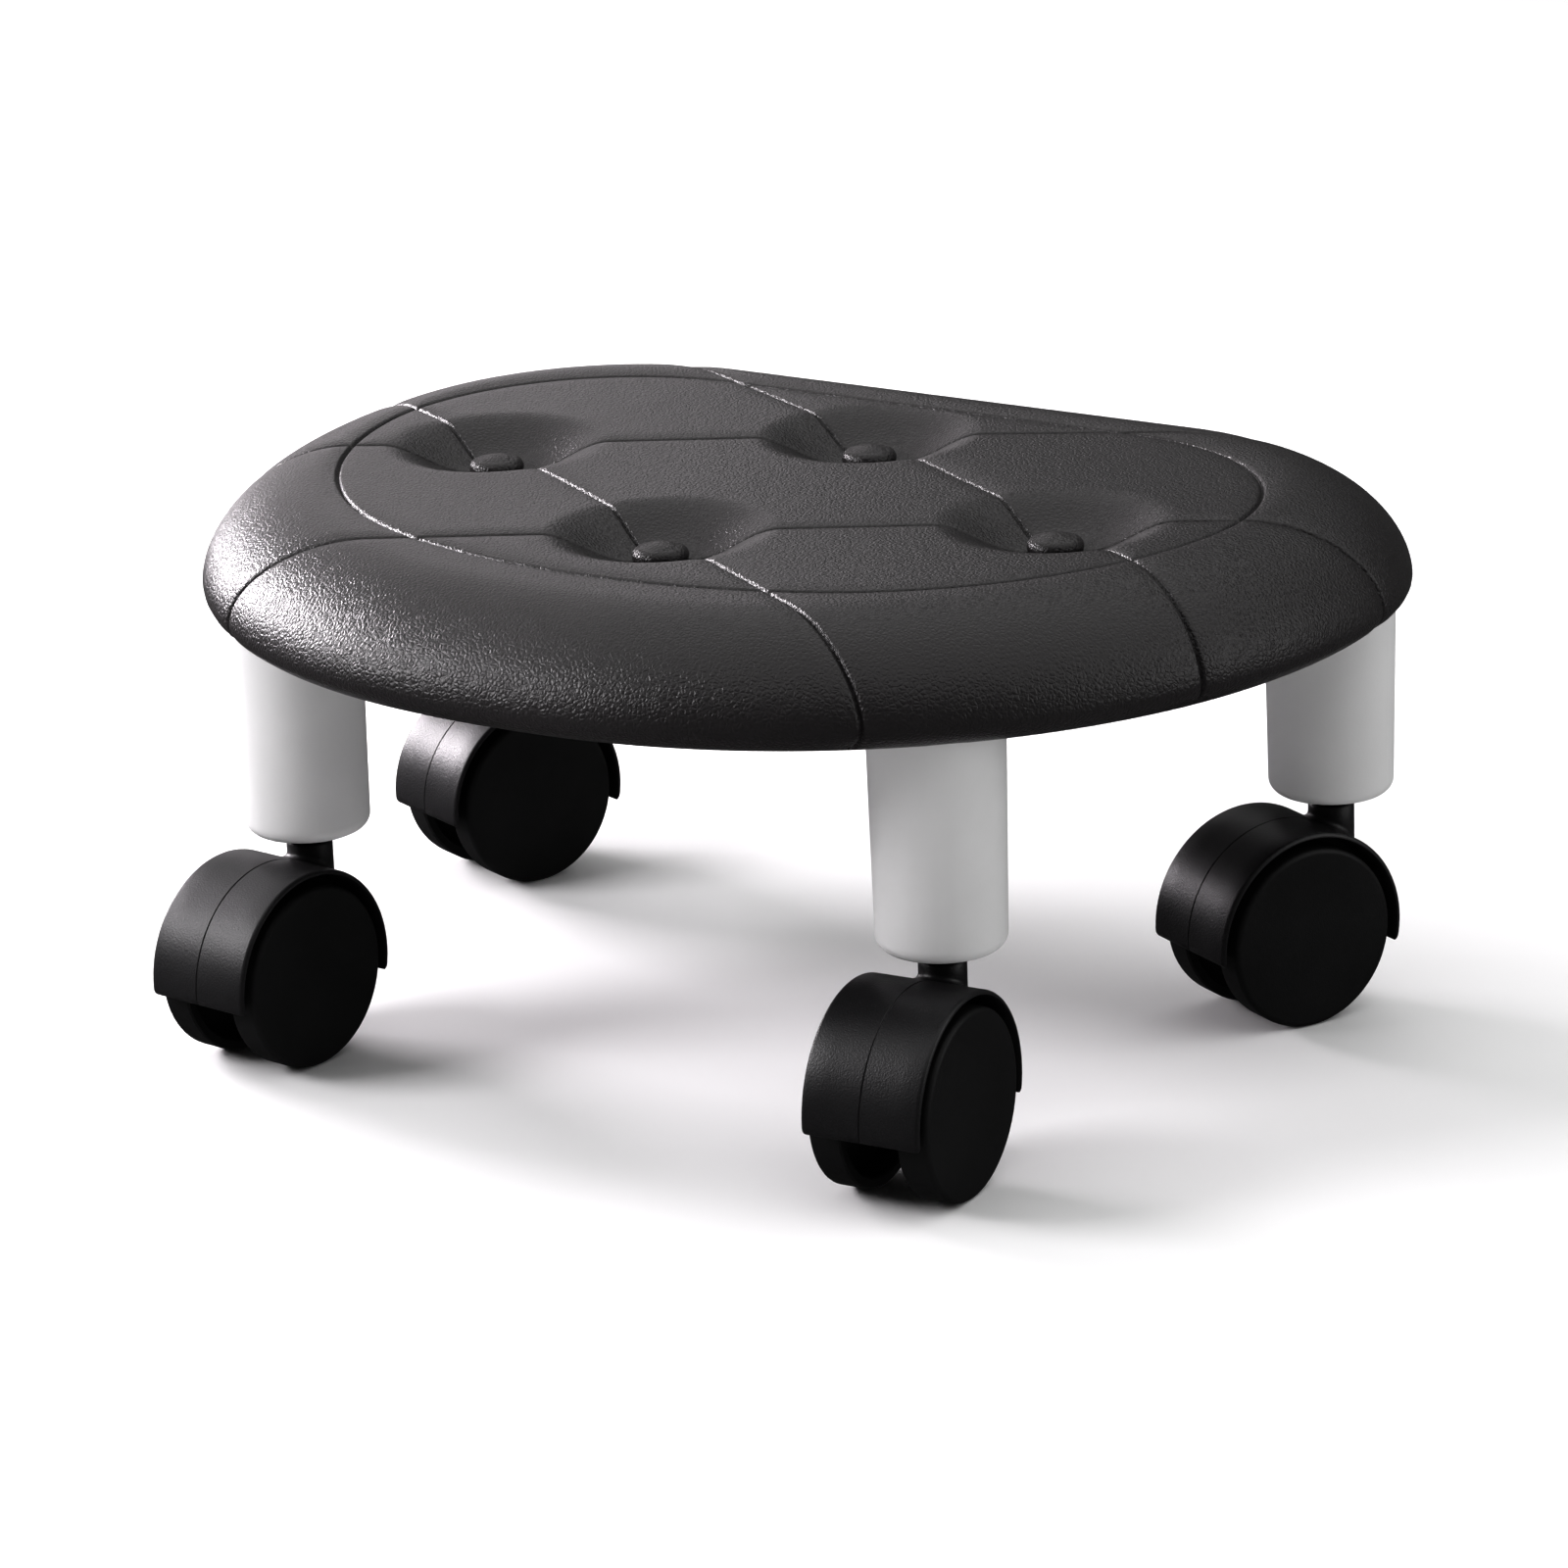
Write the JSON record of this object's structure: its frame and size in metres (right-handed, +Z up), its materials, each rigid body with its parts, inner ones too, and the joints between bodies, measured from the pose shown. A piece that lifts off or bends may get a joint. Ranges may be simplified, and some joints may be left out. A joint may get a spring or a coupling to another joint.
{
  "type": "pedicure stool",
  "caption": "Low rolling stool with a grained, button-tufted D-shaped cushion on four short tapered legs, each on a twin-wheel swivel caster.",
  "frame": {"origin": "on the floor, under the middle of the seat's outline box", "axes": "+Z up, +X along the wide side of the seat, -Y towards the rounded front"},
  "size_m": [0.3332, 0.258, 0.1492],
  "materials": {
    "seat_leather": "satin, fine leather grain",
    "seat_button_leather": "satin, fine leather grain",
    "board_plastic": "matt, moulded",
    "leg_plastic": "satin, smooth moulded",
    "caster_plastic": "satin, finely textured",
    "wheel_plastic": "matt, finely textured",
    "black_steel": "black oxide",
    "zinc_steel": "zinc plated"
  },
  "bodies": {
    "seat_frame": {"seat_cushion": "seat_leather", "seat_buttons": "seat_button_leather", "seat_board": "board_plastic", "leg_t_nuts": "zinc_steel", "leg_studs": "zinc_steel", "leg_front_left": "leg_plastic", "leg_front_right": "leg_plastic", "leg_back_right": "leg_plastic", "leg_back_left": "leg_plastic", "socket_front_left": "caster_plastic", "stem_front_left": "black_steel", "grip_ring_front_left": "zinc_steel", "socket_front_right": "caster_plastic", "stem_front_right": "black_steel", "grip_ring_front_right": "zinc_steel", "socket_back_right": "caster_plastic", "stem_back_right": "black_steel", "grip_ring_back_right": "zinc_steel", "socket_back_left": "caster_plastic", "stem_back_left": "black_steel", "grip_ring_back_left": "zinc_steel"},
    "caster_front_left": {"hood_front_left": "caster_plastic", "axle_front_left": "zinc_steel"},
    "wheel_inner_front_left": {"wheel_inner_front_left": "wheel_plastic"},
    "wheel_outer_front_left": {"wheel_outer_front_left": "wheel_plastic"},
    "caster_front_right": {"hood_front_right": "caster_plastic", "axle_front_right": "zinc_steel"},
    "wheel_inner_front_right": {"wheel_inner_front_right": "wheel_plastic"},
    "wheel_outer_front_right": {"wheel_outer_front_right": "wheel_plastic"},
    "caster_back_right": {"hood_back_right": "caster_plastic", "axle_back_right": "zinc_steel"},
    "wheel_inner_back_right": {"wheel_inner_back_right": "wheel_plastic"},
    "wheel_outer_back_right": {"wheel_outer_back_right": "wheel_plastic"},
    "caster_back_left": {"hood_back_left": "caster_plastic", "axle_back_left": "zinc_steel"},
    "wheel_inner_back_left": {"wheel_inner_back_left": "wheel_plastic"},
    "wheel_outer_back_left": {"wheel_outer_back_left": "wheel_plastic"}
  },
  "joints": [
    {"name": "swivel_front_left", "type": "hinge", "parent": "seat_frame", "child": "caster_front_left", "pos_m": [-0.1007, -0.0704, 0.0592], "axis": [0, 0, 1], "continuous": true},
    {"name": "spin_inner_front_left", "type": "hinge", "parent": "caster_front_left", "child": "wheel_inner_front_left", "pos_m": [-0.10226, -0.08823, 0.025], "axis": [0.9962, -0.0872, 0], "continuous": true},
    {"name": "spin_outer_front_left", "type": "hinge", "parent": "caster_front_left", "child": "wheel_outer_front_left", "pos_m": [-0.10226, -0.08823, 0.025], "axis": [0.9962, -0.0872, 0], "continuous": true},
    {"name": "swivel_front_right", "type": "hinge", "parent": "seat_frame", "child": "caster_front_right", "pos_m": [0.1007, -0.0704, 0.0592], "axis": [0, 0, 1], "continuous": true},
    {"name": "spin_inner_front_right", "type": "hinge", "parent": "caster_front_right", "child": "wheel_inner_front_right", "pos_m": [0.1021, -0.08824, 0.025], "axis": [0.9969, 0.0785, 0], "continuous": true},
    {"name": "spin_outer_front_right", "type": "hinge", "parent": "caster_front_right", "child": "wheel_outer_front_right", "pos_m": [0.1021, -0.08824, 0.025], "axis": [0.9969, 0.0785, 0], "continuous": true},
    {"name": "swivel_back_right", "type": "hinge", "parent": "seat_frame", "child": "caster_back_right", "pos_m": [0.129, 0.0838, 0.0592], "axis": [0, 0, 1], "continuous": true},
    {"name": "spin_inner_back_right", "type": "hinge", "parent": "caster_back_right", "child": "wheel_inner_back_right", "pos_m": [0.12101, 0.06778, 0.025], "axis": [0.8949, -0.4462, 0], "continuous": true},
    {"name": "spin_outer_back_right", "type": "hinge", "parent": "caster_back_right", "child": "wheel_outer_back_right", "pos_m": [0.12101, 0.06778, 0.025], "axis": [0.8949, -0.4462, 0], "continuous": true},
    {"name": "swivel_back_left", "type": "hinge", "parent": "seat_frame", "child": "caster_back_left", "pos_m": [-0.129, 0.0838, 0.0592], "axis": [0, 0, 1], "continuous": true},
    {"name": "spin_inner_back_left", "type": "hinge", "parent": "caster_back_left", "child": "wheel_inner_back_left", "pos_m": [-0.13541, 0.06709, 0.025], "axis": [0.9336, -0.3584, 0], "continuous": true},
    {"name": "spin_outer_back_left", "type": "hinge", "parent": "caster_back_left", "child": "wheel_outer_back_left", "pos_m": [-0.13541, 0.06709, 0.025], "axis": [0.9336, -0.3584, 0], "continuous": true}
  ]
}
